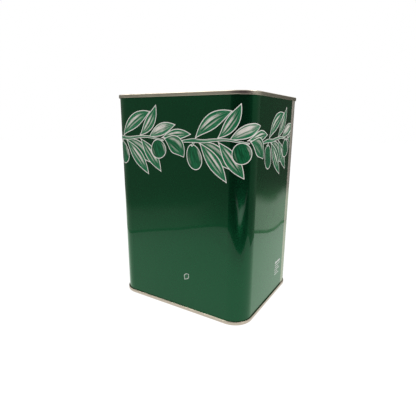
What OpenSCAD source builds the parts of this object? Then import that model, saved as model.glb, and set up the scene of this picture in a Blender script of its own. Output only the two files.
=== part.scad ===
// Olive oil tin of 3 litres: a rolled tinplate body between two double seamed ends,
// a folding wire handle, and a pull-up pouring spout under a screw cap.
// Millimetres. The origin is the middle of the base, +Z is up,
// the wide printed face looks to -Y and the narrow side with the weld to +X.

/* [Body] */
// Overall height over both double seams
height = 200; // [180:1:240]
// Width of the wide face over the body sheet
width = 143; // [138:1:170]
// Depth of the narrow face over the body sheet
depth = 118; // [114:1:150]
// Radius of the upright corners at the outer face of the sheet
corner_r = 17; // [16:0.5:20]
// Thickness of the body sheet
body_t = 0.3; // [0.26:0.02:0.34]

/* [Double seams] */
// Thickness of the end sheet
end_t = 0.32; // [0.28:0.02:0.36]
// Height of a finished double seam
seam_h = 3.1; // [3:0.1:3.5]
// Gap between two rolled layers of the seam
layer_gap = 0.06; // [0.04:0.01:0.08]
// Thickness of the sealing compound in the crown of the seam
compound_t = 0.18; // [0.14:0.02:0.22]
// Outer radius of the rolled crown of the seam
crown_r = 0.55; // [0.5:0.05:0.6]

/* [End panels] */
// Depth of the end panel below the crown of the seam
panel_depth = 4.8; // [4.6:0.1:5.4]
// Height of each step pressed into an end panel
step_h = 0.9; // [0.7:0.05:1]
// Inset of the first step from the body sheet
step_inset = 4.5; // [4:0.5:5.5]
// Inset of the second step, on the bottom end only
inner_step_inset = 10.5; // [9.5:0.5:11.5]

/* [Side weld] */
// Angle of the weld round the back right corner, from the narrow side
weld_angle = 17; // [10:1:40]
// Width of the overlap that is welded
weld_width = 0.9; // [0.6:0.1:1.2]
// Height of the weld over the outer face of the sheet
weld_proud = 0.12; // [0.08:0.02:0.2]

/* [Spout bush] */
// Distance of the spout axis from the narrow side
spout_from_side = 28.5; // [28:0.5:32]
// Distance of the spout axis from the wide face
spout_from_front = 28; // [28:0.5:32]
// Inner radius of the bush, round the cap
cup_r = 17.2; // [17:0.1:17.4]
// Wall thickness of the bush
bush_wall = 1.5; // [1.4:0.1:1.6]
// Depth of the bush below the end panel
bush_depth = 18; // [17.5:0.5:20]
// Outer radius of the bush flange
flange_r = 21.4; // [21.2:0.1:22]
// Height of the bush flange over the end panel
flange_h = 3.4; // [3:0.1:3.8]
// Height of the guide ring in the foot of the bush
guide_t = 2.6; // [2:0.1:3]

/* [Spout tube] */
// Outer radius of the sliding tube
tube_r = 15; // [14.6:0.1:15.1]
// Wall thickness of the tube
tube_wall = 1.4; // [1.2:0.1:1.6]
// Travel of the tube when it is pulled up
spout_travel = 23.5; // [18:0.5:26]
// Outer radius of the neck that carries the cap
neck_r = 12.3; // [12:0.1:12.5]
// Wall thickness of the neck
neck_wall = 1.5; // [1.3:0.1:1.6]
// Depth of the shoulder between neck and tube below the end panel
shoulder_depth = 12; // [11.8:0.1:12.4]

/* [Cap] */
// Outer radius of the cap
cap_r = 15.6; // [15.4:0.1:15.8]
// Thickness of the cap's skirt
skirt_t = 1.4; // [1.2:0.1:1.5]
// Depth of the skirt's lower edge below the end panel
skirt_depth = 9; // [8.6:0.1:9.2]
// Height of the cap's rim over the end panel
cap_h = 4.4; // [4.3:0.05:4.5]
// Depth of the recess in the cap that holds the two pull bails
recess_depth = 2.4; // [2.3:0.05:2.5]
// Thickness of the cap's top
cap_top_t = 1.4; // [1.2:0.1:1.5]
// Width of the band of each pull bail
bail_width = 3; // [2.4:0.1:3.4]
// Thickness of each pull bail
bail_t = 1.8; // [1.6:0.05:1.8]
// Radius of the hinge pins of the pull bails
bail_pin_r = 0.7; // [0.6:0.05:0.75]

/* [Handle] */
// Radius of the handle wire
wire_r = 1.6; // [1.4:0.05:1.6]
// Distance between the centres of the two legs
handle_span = 92; // [84:1:94]
// Reach of the handle from its hinge to the crossbar
handle_reach = 38; // [34:1:40]
// Distance of the hinge behind the middle of the tin
hinge_y = 6; // [5:0.5:8]
// Bend radius at the ends of the crossbar, to the middle of the wire
handle_bend_r = 8; // [6:0.5:10]
// Length of the grip
grip_length = 62; // [56:1:66]
// Width of the grip
grip_width = 11; // [9:0.5:11.5]
// Thickness of the grip
grip_t = 4.2; // [3.9:0.05:4.2]

/* [Handle ears] */
// Thickness of the ear sheet
ear_t = 0.6; // [0.5:0.05:0.6]
// Length of the rolled eye of each ear
eye_length = 7; // [6:0.5:8]
// Width of the ear plate along the hinge
ear_width = 13; // [12:0.5:14]
// Depth of the ear plate across the hinge
ear_depth = 15; // [14:0.5:16]
// Radius of the spot welds on an ear
spot_r = 1.3; // [1:0.1:1.5]

/* [Hidden] */
$fn = 72;
small_fn = 24;
run_fit = 0.05;
seat_gap = 0.3;

// seam layers, as offsets out of the body sheet
chuck_x = -body_t - layer_gap - end_t;
end_hook_x = layer_gap;
body_hook_x = 2 * layer_gap + end_t;
seam_out = body_hook_x + body_t + layer_gap + end_t;
body_crown = end_t + compound_t + 0.04;
hook_play = 0.15;
hook_r = 0.5;
body_crown_r = 0.45;

// levels
panel_z = height - panel_depth;
bend_r = (step_h - end_t) / 2 + end_t;
floor_r = 0.9;

// spout
spout_x = width / 2 - spout_from_side;
spout_y = -depth / 2 + spout_from_front;
bush_r = cup_r + bush_wall;
collar_r = bush_r + seat_gap;
collar_h = 1.6;
collar_bend = 0.5;
guide_r = tube_r + seat_gap;
wiper_t = 1.3;
wiper_foot = bush_depth - guide_t;
stop_t = 1.5;
stop_top = bush_depth + spout_travel + seat_gap;
stop_r = cup_r - 0.3;
neck_bore = neck_r - neck_wall;
neck_top = 0.4;
lip_r = neck_r + 0.6;
bead_r = neck_r + 1;
bead_z = skirt_depth + 0.2;
cap_floor_z = cap_h - recess_depth;
cap_under_z = cap_floor_z - cap_top_t;
liner_t = 0.8;
plug_r = neck_bore - seat_gap;
plug_t = 0.9;
plug_depth = 2.4;
recess_r = cap_r - 1.6;
bail_r = recess_r - 0.4;
bail_axis_y = 1.6;
bail_axis_z = cap_floor_z + seat_gap + bail_t / 2;
bail_pin_end = recess_r + 1;

// handle
eye_bore = wire_r + run_fit;
eye_z = panel_z + ear_t + eye_bore;
leg_bend_r = 2 * wire_r;
leg_x = handle_span / 2;
eye_x0 = leg_x + leg_bend_r + 0.8;
wire_end_x = eye_x0 + eye_length + 1.5;
crossbar_y = hinge_y + handle_reach;

// Plan of the tin, moved out of the body sheet by a distance
module plan(out) {
    w = width + 2 * out;
    d = depth + 2 * out;
    r = corner_r + out;
    square([w - 2 * r, d], center = true);
    square([w, d - 2 * r], center = true);
    for (sx = [-1, 1], sy = [-1, 1])
        translate([sx * (w / 2 - r), sy * (d / 2 - r)])
            circle(r);
}

// A section carried round the plan: x runs out of the body sheet, y runs up
module round_the_body() {
    straight_x = width - 2 * corner_r;
    straight_y = depth - 2 * corner_r;
    for (turn = [0, 180]) {
        rotate(turn)
            translate([-straight_x / 2, depth / 2, 0])
                rotate([90, 0, 90])
                    linear_extrude(height = straight_x)
                        children();
        rotate(turn + 90)
            translate([-straight_y / 2, width / 2, 0])
                rotate([90, 0, 90])
                    linear_extrude(height = straight_y)
                        children();
    }
    for (quarter = [0, 1, 2, 3])
        translate([
            (quarter == 0 || quarter == 3 ? 1 : -1) * straight_x / 2,
            (quarter < 2 ? 1 : -1) * straight_y / 2, 0])
            rotate(90 * quarter)
                rotate_extrude(angle = 90)
                    translate([corner_r, 0])
                        children();
}

// Section from x0 to x1 and from y0 to y1
module band(x0, x1, y0, y1) {
    translate([x0, y0])
        square([x1 - x0, y1 - y0]);
}

// Solid end of a fold: a bar from x0 to x1 with a rounded top at y
module fold_end(x0, x1, y, r, run) {
    band(x0, x1, y - run, y - r);
    band(x0 + r, x1 - r, y - r, y);
    for (x = [x0 + r, x1 - r])
        translate([x, y - r])
            circle(r, $fn = small_fn);
}

// Sheet of thickness t folded over from x0 to x1 with its crown at y
module fold(x0, x1, y, r, t) {
    difference() {
        fold_end(x0, x1, y, r, r + 0.05);
        fold_end(x0 + t, x1 - t, y - t, max(r - t, 0.05), 2 * r);
    }
}

// Quarter of a bend in the end sheet: the quadrant is given by the signs
module quarter_bend(x, y, outer_r, sx, sy) {
    translate([x, y])
        intersection() {
            difference() {
                circle(outer_r, $fn = small_fn);
                circle(outer_r - end_t, $fn = small_fn);
            }
            translate([min(0, sx * outer_r), min(0, sy * outer_r)])
                square(outer_r);
        }
}

// Step of the end panel at inset x: the inner side stands step_h nearer the crown
module panel_step(x, top) {
    quarter_bend(-x, top + bend_r - end_t, bend_r, -1, -1);
    quarter_bend(-x - 2 * bend_r + end_t, top + step_h - bend_r, bend_r, 1, 1);
}

// Body sheet in the seam: crown and body hook
module body_hook_section() {
    hook_out = body_hook_x + body_t;
    fold(-body_t, hook_out, -body_crown, body_crown_r, body_t);
    band(body_hook_x, hook_out, end_t + hook_play - seam_h, -body_crown - body_crown_r);
}

// End sheet in the seam: crown, seaming wall, end hook and chuck wall
module end_seam_section(floor_top) {
    fold(chuck_x, seam_out, 0, crown_r, end_t);
    band(seam_out - end_t, seam_out, hook_r - seam_h, -crown_r);
    mirror([0, 1])
        fold(end_hook_x, seam_out, seam_h, hook_r, end_t);
    band(end_hook_x, end_hook_x + end_t, hook_r - seam_h, -body_crown - body_t - hook_play);
    band(chuck_x, chuck_x + end_t, floor_top - end_t + floor_r, -crown_r);
    quarter_bend(chuck_x + end_t - floor_r, floor_top - end_t + floor_r, floor_r, 1, -1);
}

// Top end: countersunk floor and one step up to the panel
module top_end_section() {
    floor_top = -panel_depth - step_h;
    end_seam_section(floor_top);
    band(-step_inset, chuck_x + end_t - floor_r, floor_top - end_t, floor_top);
    panel_step(step_inset, floor_top);
}

// Bottom end: the same with a second step to a panel nearer the crown
module bottom_end_section() {
    floor_top = -panel_depth - step_h;
    second_top = -panel_depth;
    end_seam_section(floor_top);
    band(-step_inset, chuck_x + end_t - floor_r, floor_top - end_t, floor_top);
    panel_step(step_inset, floor_top);
    band(-inner_step_inset, step_end(step_inset), second_top - end_t, second_top);
    panel_step(inner_step_inset, second_top);
}

// Offset at which the panel inside a step begins
function step_end(inset) = -inset - 2 * bend_r + end_t;

module body_wall() {
    color([0.13, 0.25, 0.18])
        union() {
            translate([0, 0, body_crown + body_crown_r])
                linear_extrude(height = height - 2 * (body_crown + body_crown_r))
                    difference() {
                        plan(0);
                        plan(-body_t);
                    }
            translate([0, 0, height])
                round_the_body()
                    body_hook_section();
            mirror([0, 0, 1])
                round_the_body()
                    body_hook_section();
        }
}

module side_seam() {
    half = weld_width / 2 / corner_r * 180 / PI;
    color([0.62, 0.58, 0.52])
        translate([width / 2 - corner_r, depth / 2 - corner_r, seam_h + seat_gap])
            rotate(weld_angle - half)
                rotate_extrude(angle = 2 * half)
                    translate([corner_r, 0])
                        square([weld_proud, height - 2 * (seam_h + seat_gap)]);
}

module top_end() {
    cut_r = collar_r + end_t + collar_bend;
    color([0.73, 0.70, 0.62])
        union() {
            translate([0, 0, height])
                round_the_body()
                    top_end_section();
            difference() {
                translate([0, 0, panel_z - end_t])
                    linear_extrude(height = end_t)
                        plan(step_end(step_inset));
                translate([spout_x, spout_y, panel_z - 2 * end_t])
                    cylinder(r = cut_r, h = 3 * end_t);
            }
            translate([spout_x, spout_y, panel_z])
                rotate_extrude() {
                    band(collar_r, collar_r + end_t, collar_bend, collar_h);
                    quarter_bend(cut_r, collar_bend, collar_bend + end_t, -1, -1);
                }
        }
}

module bottom_end() {
    color([0.73, 0.70, 0.62])
        mirror([0, 0, 1])
            union() {
                round_the_body()
                    bottom_end_section();
                translate([0, 0, -panel_depth + step_h - end_t])
                    linear_extrude(height = end_t)
                        plan(step_end(inner_step_inset));
            }
}

// Sealing compound between the crowns of the two sheets
module seam_compound() {
    round_the_body()
        band(0, body_hook_x, -end_t - compound_t - 0.02, -end_t - 0.02);
}

module top_seal() {
    color([0.25, 0.25, 0.24])
        translate([0, 0, height])
            seam_compound();
}

module bottom_seal() {
    color([0.25, 0.25, 0.24])
        mirror([0, 0, 1])
            seam_compound();
}

// Spot welded ear with a rolled eye, its eye starting at x = 0
module handle_ear() {
    plate_x = (eye_length - ear_width) / 2;
    color([0.70, 0.68, 0.62])
        union() {
            difference() {
                union() {
                    translate([plate_x, hinge_y - ear_depth / 2, panel_z])
                        cube([ear_width, ear_depth, ear_t]);
                    translate([0, hinge_y, eye_z])
                        rotate([0, 90, 0])
                            cylinder(r = eye_bore + ear_t, h = eye_length);
                    translate([0, hinge_y - eye_bore - ear_t, panel_z + ear_t / 2])
                        cube([eye_length, 2 * (eye_bore + ear_t), eye_z - panel_z - ear_t / 2]);
                }
                translate([plate_x - 1, hinge_y, eye_z])
                    rotate([0, 90, 0])
                        cylinder(r = eye_bore, h = ear_width + 2);
                for (x = [plate_x, plate_x + ear_width], y = [-1, 1])
                    translate([x, hinge_y + y * ear_depth / 2, panel_z - 1])
                        rotate(45)
                            cube([2.4, 2.4, 6], center = true);
            }
            for (x = [0.5, eye_length - 0.5], y = [-1, 1])
                translate([x, hinge_y + y * (ear_depth / 2 - 2.3), panel_z + ear_t])
                    cylinder(r = spot_r, h = 0.2);
        }
}

module handle_ear_right() {
    translate([eye_x0, 0, 0])
        handle_ear();
}

module handle_ear_left() {
    mirror([1, 0, 0])
        handle_ear_right();
}

// Half of the handle wire: half crossbar, corner, leg, foot bend and hinge end
module half_wire() {
    corner_x = leg_x - handle_bend_r;
    corner_y = crossbar_y - handle_bend_r;
    foot_y = hinge_y + leg_bend_r;
    translate([0, crossbar_y, eye_z])
        rotate([0, 90, 0])
            cylinder(r = wire_r, h = corner_x);
    translate([corner_x, corner_y, eye_z])
        rotate_extrude(angle = 90)
            translate([handle_bend_r, 0])
                circle(wire_r, $fn = small_fn);
    translate([leg_x, foot_y, eye_z])
        rotate([-90, 0, 0])
            cylinder(r = wire_r, h = corner_y - foot_y);
    translate([leg_x + leg_bend_r, foot_y, eye_z])
        rotate(180)
            rotate_extrude(angle = 90)
                translate([leg_bend_r, 0])
                    circle(wire_r, $fn = small_fn);
    translate([leg_x + leg_bend_r, hinge_y, eye_z])
        rotate([0, 90, 0])
            cylinder(r = wire_r, h = wire_end_x - leg_x - leg_bend_r);
}

module handle_wire() {
    color([0.66, 0.66, 0.64])
        union() {
            half_wire();
            mirror([1, 0, 0])
                half_wire();
        }
}

module handle_grip() {
    edge_r = grip_t / 2;
    end_r = grip_width / 2 - 1;
    color([0.08, 0.08, 0.08])
        translate([0, crossbar_y, eye_z])
            difference() {
                intersection() {
                    translate([-grip_length / 2, 0, 0])
                        rotate([90, 0, 90])
                            linear_extrude(height = grip_length) {
                                square([grip_width - 2 * edge_r, grip_t], center = true);
                                for (y = [-1, 1])
                                    translate([y * (grip_width / 2 - edge_r), 0])
                                        circle(edge_r, $fn = 36);
                            }
                    translate([0, 0, -grip_t])
                        linear_extrude(height = 2 * grip_t) {
                            square([grip_length, grip_width - 2 * end_r], center = true);
                            square([grip_length - 2 * end_r, grip_width], center = true);
                            for (x = [-1, 1], y = [-1, 1])
                                translate([x * (grip_length / 2 - end_r), y * (grip_width / 2 - end_r)])
                                    circle(end_r, $fn = 36);
                        }
                }
                translate([-grip_length / 2 - 1, 0, 0])
                    rotate([0, 90, 0])
                        cylinder(r = wire_r + 0.02, h = grip_length + 2);
            }
}

// Moves what follows to the spout axis at the level of the end panel
module at_spout() {
    translate([spout_x, spout_y, panel_z])
        children();
}

module spout_bush() {
    skirt_r = collar_r + end_t + seat_gap;
    edge = 0.7;
    snap_r = bush_r + 0.8;
    color([0.86, 0.84, 0.76])
        at_spout()
            rotate_extrude() {
                band(cup_r, bush_r, -bush_depth, flange_h);
                difference() {
                    band(cup_r, flange_r, 0.5, flange_h);
                    band(bush_r, skirt_r, 0, collar_h + seat_gap);
                    difference() {
                        band(flange_r - edge, flange_r + 1, flange_h - edge, flange_h + 1);
                        translate([flange_r - edge, flange_h - edge])
                            circle(edge, $fn = small_fn);
                    }
                }
                polygon([[bush_r - 0.5, -3.6], [snap_r, -1.2], [snap_r, -0.7], [bush_r - 0.5, -0.7]]);
            }
}

module neck_gasket() {
    color([0.80, 0.80, 0.78])
        at_spout()
            rotate_extrude()
                band(collar_r + end_t + collar_bend + 0.1, flange_r - 0.1, 0, 0.5);
}

// Ring snapped into the foot of the bush: it guides the tube and stops its foot
module guide_ring() {
    color([0.86, 0.84, 0.76])
        at_spout()
            rotate_extrude()
                band(guide_r, cup_r - run_fit, -bush_depth, guide_t - bush_depth);
}

module spout_wiper() {
    color([0.75, 0.75, 0.73])
        at_spout()
            rotate_extrude()
                band(tube_r + run_fit, cup_r - run_fit, -wiper_foot, wiper_t - wiper_foot);
}

module spout_tube() {
    bore = tube_r - tube_wall;
    color([0.88, 0.86, 0.78])
        at_spout()
            rotate_extrude() {
                band(bore, tube_r, -stop_top - stop_t, -shoulder_depth - tube_wall);
                band(bore, stop_r, -stop_top - stop_t, -stop_top);
            }
}

// Neck with its shoulder, welded on the top edge of the tube
module spout_neck() {
    color([0.88, 0.86, 0.78])
        at_spout()
            rotate_extrude() {
                band(neck_bore, tube_r, -shoulder_depth - tube_wall, -shoulder_depth);
                band(neck_bore, neck_r, -shoulder_depth - tube_wall, -neck_top - 0.4);
                translate([(neck_bore + lip_r) / 2, -neck_top - 0.5])
                    intersection() {
                        circle((lip_r - neck_bore) / 2, $fn = small_fn);
                        translate([-2, -1])
                            square([4, 1.5]);
                    }
                polygon([[neck_r - 0.2, -bead_z - 0.9], [bead_r, -bead_z - 0.5], [bead_r, -bead_z - 0.2],
                    [neck_r, 0.7 - bead_z], [neck_r - 0.2, 0.7 - bead_z]]);
            }
}

module tamper_ring() {
    color([0.20, 0.42, 0.24])
        at_spout()
            rotate_extrude()
                difference() {
                    band(neck_r + 0.4, cap_r, 0.2 - shoulder_depth, -bead_z - 1.1);
                    band(bead_r + 0.4, cap_r - skirt_t, 0.9 - shoulder_depth, 0);
                }
}

module cap_liner() {
    color([0.92, 0.92, 0.90])
        at_spout()
            rotate_extrude()
                band(plug_r + 0.1, cap_r - skirt_t - 0.1, cap_under_z - liner_t, cap_under_z);
}

module spout_cap() {
    edge = 0.5;
    color([0.20, 0.42, 0.24])
        at_spout()
            difference() {
                rotate_extrude() {
                    band(cap_r - skirt_t, cap_r, -skirt_depth, cap_h - edge);
                    band(0, cap_r, cap_under_z, cap_floor_z);
                    band(recess_r, cap_r, cap_under_z, cap_h - edge);
                    band(recess_r, cap_r - edge, cap_under_z, cap_h);
                    translate([cap_r - edge, cap_h - edge])
                        circle(edge, $fn = small_fn);
                    band(plug_r - plug_t, plug_r, -plug_depth, cap_floor_z - 0.2);
                }
                for (x = [-1, 1], y = [-1, 1])
                    translate([x * (recess_r - 0.4), y * bail_axis_y, bail_axis_z])
                        rotate([0, x * 90, 0])
                            cylinder(r = bail_pin_r + run_fit, h = bail_pin_end - recess_r + 0.6, $fn = small_fn);
            }
}

// One pull bail, folded flat in the cap with its hinge along X
module pull_bail() {
    eye_in = bail_r - bail_width;
    color([0.20, 0.42, 0.24])
        union() {
            intersection() {
                translate([0, 0, bail_axis_z - bail_t / 2])
                    difference() {
                        cylinder(r = bail_r, h = bail_t);
                        translate([0, 0, -1])
                            cylinder(r = eye_in, h = bail_t + 2);
                    }
                translate([-bail_r, bail_axis_y, 0])
                    cube([2 * bail_r, bail_r, cap_h]);
            }
            for (x = [-1, 1])
                translate([0, bail_axis_y, bail_axis_z])
                    rotate([0, x * 90, 0]) {
                        translate([0, 0, eye_in])
                            cylinder(r = bail_t / 2, h = bail_width - 0.1, $fn = small_fn);
                        translate([0, 0, eye_in])
                            cylinder(r = bail_pin_r, h = bail_pin_end - eye_in, $fn = small_fn);
                    }
        }
}

module bail_back() {
    at_spout()
        pull_bail();
}

module bail_front() {
    at_spout()
        mirror([0, 1, 0])
            pull_bail();
}

body_wall();
side_seam();
top_end();
bottom_end();
top_seal();
bottom_seal();
handle_ear_left();
handle_ear_right();
handle_wire();
handle_grip();
spout_bush();
neck_gasket();
guide_ring();
spout_wiper();
spout_tube();
spout_neck();
tamper_ring();
cap_liner();
spout_cap();
bail_front();
bail_back();
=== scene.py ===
"""Looks of the olive oil tin: lacquer, printed garland, seams, spout, handle and studio."""

from __future__ import annotations

import logging
import math
from dataclasses import dataclass
from enum import Enum
from functools import cache
from typing import Callable, Sequence

import bpy
from bpy.types import ID, Material, Node, NodeSocket, NodeTree, Object
from mathutils import Matrix, Vector


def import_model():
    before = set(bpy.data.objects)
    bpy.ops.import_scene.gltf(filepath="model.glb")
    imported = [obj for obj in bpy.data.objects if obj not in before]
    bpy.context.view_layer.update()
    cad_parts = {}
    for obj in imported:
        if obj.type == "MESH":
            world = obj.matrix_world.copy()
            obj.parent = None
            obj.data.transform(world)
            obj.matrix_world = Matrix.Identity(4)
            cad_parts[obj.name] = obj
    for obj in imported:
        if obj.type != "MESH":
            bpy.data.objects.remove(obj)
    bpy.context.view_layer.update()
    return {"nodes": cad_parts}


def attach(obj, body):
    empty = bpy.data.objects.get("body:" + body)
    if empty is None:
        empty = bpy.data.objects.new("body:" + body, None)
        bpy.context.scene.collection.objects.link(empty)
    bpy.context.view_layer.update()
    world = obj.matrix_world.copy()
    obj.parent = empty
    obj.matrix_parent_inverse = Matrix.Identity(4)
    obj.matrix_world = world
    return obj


log = logging.getLogger("tin")
MM = 0.001
GRAIN_DEEP = 0.0002
LEAST_AREA = 1e-10
SHORTEST_EDGE = 1e-6
SAME_SPOT = 1e-7
CRISP = math.radians(42)
Colour = tuple[float, float, float]
Point = tuple[float, float]
Span = tuple[float, float]
Triple = tuple[float, float, float]


class Body(Enum):
    """Rigid bodies of the frame that new pieces ride on."""

    TIN = "tin"
    HANDLE = "handle"
    SPOUT = "spout"
    CAP = "cap"


class Graph:
    """Small helper round a node tree: adds nodes, and feeds them by the names of their inputs."""

    def __init__(self, tree: NodeTree) -> None:
        """Start on the node tree of a material, a group or the world."""
        self.tree = tree

    def add(self, kind: str, **values: object) -> Node:
        """Add a node of a kind, named without its ShaderNode prefix, and feed it."""
        kind = kind if kind.startswith("Node") else "ShaderNode" + kind
        return self.feed(self.tree.nodes.new(kind), **values)

    def feed(self, node: Node, **values: object) -> Node:
        """Set a node's properties and inputs.

        Args:
            node: The node.
            **values: Properties by name, and inputs by name with underscores for spaces, or by i and
                their number. A node as a value stands for its first output.

        Returns:
            The same node.
        """
        for name, value in values.items():
            if hasattr(node, name):
                setattr(node, name, value)
                continue
            key = int(name[1:]) if name[1:].isdigit() else name.replace("_", " ")
            source = value.outputs[0] if isinstance(value, Node) else value
            if isinstance(source, NodeSocket):
                self.tree.links.new(source, node.inputs[key])
            else:
                node.inputs[key].default_value = source
        return node

    def math(self, operation: str, a: object, b: object = 0.0) -> NodeSocket:
        """Add a math node and return its result."""
        return self.add("Math", operation=operation, i0=a, i1=b).outputs[0]

    def plus(self, a: object, b: object) -> NodeSocket:
        """Sum of two values."""
        return self.math("ADD", a, b)

    def minus(self, a: object, b: object) -> NodeSocket:
        """Difference of two values."""
        return self.math("SUBTRACT", a, b)

    def times(self, first: object, *more: object) -> NodeSocket:
        """Product of values."""
        for value in more:
            first = self.math("MULTIPLY", first, value)
        return first

    def vector(self, operation: str, a: object, b: object) -> NodeSocket:
        """Add a vector math node and return its result."""
        return self.add("VectorMath", operation=operation, i0=a, i1=b).outputs[0]

    def noise(self, place: object, scale: object, detail: float, roughness: float = 0.5) -> NodeSocket:
        """Add a noise texture and return its value."""
        noise = self.add("TexNoise", Vector=place, Scale=scale, Detail=detail, Roughness=roughness)
        return noise.outputs[0]

    def span(self, value: object, low: float, high: float) -> NodeSocket:
        """Map a value from 0..1 to low..high."""
        return self.add("MapRange", Value=value, To_Min=low, To_Max=high).outputs[0]

    def ramp(self, value: object, low: float, high: float) -> NodeSocket:
        """Map a value smoothly from low..high to 0..1."""
        return self.add("MapRange", interpolation_type="SMOOTHSTEP", Value=value, From_Min=low,
                        From_Max=high).outputs[0]

    def fall(self, value: object, low: float, high: float) -> NodeSocket:
        """Map a value smoothly from low..high to 1..0."""
        return self.minus(1.0, self.ramp(value, low, high))

    def window(self, value: object, rise: Span, fall: Span) -> NodeSocket:
        """Mask that rises over one stretch of a value and falls again over another."""
        return self.times(self.ramp(value, *rise), self.fall(value, *fall))

    def near(self, value: object, centre: float, full: float, none: float) -> NodeSocket:
        """Mask that is 1 within one distance of the centre and 0 beyond another."""
        return self.fall(self.math("ABSOLUTE", self.minus(value, centre)), full, none)

    def mix(self, factor: object, a: NodeSocket | Colour, b: NodeSocket | Colour) -> NodeSocket:
        """Mix two colours and return the result."""
        first, second = (c if isinstance(c, NodeSocket) else (*c, 1.0) for c in (a, b))
        return self.add("Mix", data_type="RGBA", i0=factor, i6=first, i7=second).outputs[2]


def empty(tree: NodeTree) -> Graph:
    """Clear a node tree and start a graph on it."""
    tree.nodes.clear()
    return Graph(tree)


def blank_material(name: str) -> tuple[Material, Graph]:
    """Make a material without nodes, and the graph on it."""
    material = bpy.data.materials.new(name)
    material.use_nodes = True
    return material, empty(material.node_tree)


def group(name: str, vectors: Sequence[str], scales: dict[str, float],
          fill: Callable[[Graph, Node], dict[str, NodeSocket]]) -> NodeTree:
    """Make a shader node group once.

    Args:
        name: Name of the group.
        vectors: Names of its vector inputs.
        scales: Defaults of its number inputs by name.
        fill: Function from the graph and the input node to the numbers that the group gives, by name.

    Returns:
        The group's node tree.
    """
    if name in bpy.data.node_groups:
        return bpy.data.node_groups[name]
    tree = bpy.data.node_groups.new(name, "ShaderNodeTree")
    for label in vectors:
        tree.interface.new_socket(label, in_out="INPUT", socket_type="NodeSocketVector")
    for label, scale in scales.items():
        socket = tree.interface.new_socket(label, in_out="INPUT", socket_type="NodeSocketFloat")
        socket.default_value = scale
    graph = Graph(tree)
    given = fill(graph, graph.add("NodeGroupInput"))
    for label in given:
        tree.interface.new_socket(label, in_out="OUTPUT", socket_type="NodeSocketFloat")
    graph.add("NodeGroupOutput", **given)
    return tree


def surface_group() -> NodeTree:
    """Fine texture, slow waviness and handling marks of a surface, as heights and a mask."""

    def fill(graph: Graph, ends: Node) -> dict[str, NodeSocket]:
        """Build the inside of the group."""
        place, fine, slow, mark = ends.outputs[:4]
        spots = graph.noise(place, mark, detail=6.0, roughness=0.7)
        return {"Fine": graph.noise(place, fine, detail=3.0), "Slow": graph.noise(place, slow, detail=1.0),
                "Marks": graph.ramp(spots, low=0.52, high=0.78)}

    scales = {"Fine Scale": 900.0, "Slow Scale": 14.0, "Mark Scale": 60.0}
    return group("surface_texture", ["Vector"], scales, fill)


def brushed_group() -> NodeTree:
    """Lines left by rolling, stretched by a vector scale, and a mottle of the metal."""

    def fill(graph: Graph, ends: Node) -> dict[str, NodeSocket]:
        """Build the inside of the group."""
        place, stretch = ends.outputs[:2]
        drawn = graph.vector("MULTIPLY", place, stretch)
        return {"Lines": graph.noise(drawn, scale=1.0, detail=4.0, roughness=0.6),
                "Mottle": graph.noise(place, scale=240.0, detail=4.0)}

    return group("rolled_metal", ["Vector", "Stretch"], {}, fill)


class Finish:
    """Recipe of a material with one Principled shader."""

    name: str

    def paint(self, graph: Graph, shader: Node, place: NodeSocket) -> None:
        """Feed the shader.

        Args:
            graph: The material's graph.
            shader: Its Principled node.
            place: Object coordinates.
        """
        raise NotImplementedError

    @cache
    def material(self) -> Material:
        """Build the material, once for each finish."""
        material, graph = blank_material(self.name)
        shader = graph.add("BsdfPrincipled")
        graph.add("OutputMaterial", Surface=shader)
        self.paint(graph, shader, graph.add("TexCoord").outputs["Object"])
        return material


@dataclass(frozen=True)
class Gloss:
    """Clear coat that lies over lacquer and print alike."""

    coat: float = 1.0
    coat_roughness: float = 0.045
    coat_ior: float = 1.30
    specular: float = 0.1
    edge_tint: Colour = (0.61, 0.96, 0.66)
    under: float = 0.27
    worn: float = 0.12
    wave: float = 0.3
    wave_deep: float = 0.0006
    peel: float = 0.02
    peel_deep: float = 0.0004

    def lay(self, graph: Graph, shader: Node, place: NodeSocket) -> tuple[Node, NodeSocket]:
        """Give a shader the gloss of the lacquer.

        Args:
            graph: The material's graph.
            shader: Its Principled node.
            place: Object coordinates.

        Returns:
            The group node with the surface's masks, and the roughness under the coat.
        """
        tex = graph.add("Group", node_tree=surface_group(), Vector=place)
        rough = graph.span(tex.outputs["Marks"], self.under, self.under + self.worn)
        wave = graph.add("Bump", Height=tex.outputs["Slow"], Strength=self.wave, Distance=self.wave_deep)
        peel = graph.add("Bump", Height=tex.outputs["Fine"], Strength=self.peel, Distance=self.peel_deep,
                         Normal=wave)
        graph.feed(shader, Coat_Weight=self.coat, Coat_Roughness=self.coat_roughness,
                   Coat_IOR=self.coat_ior, Specular_IOR_Level=self.specular,
                   Specular_Tint=(*self.edge_tint, 1.0), Roughness=rough, Normal=peel)
        return tex, rough


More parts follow.
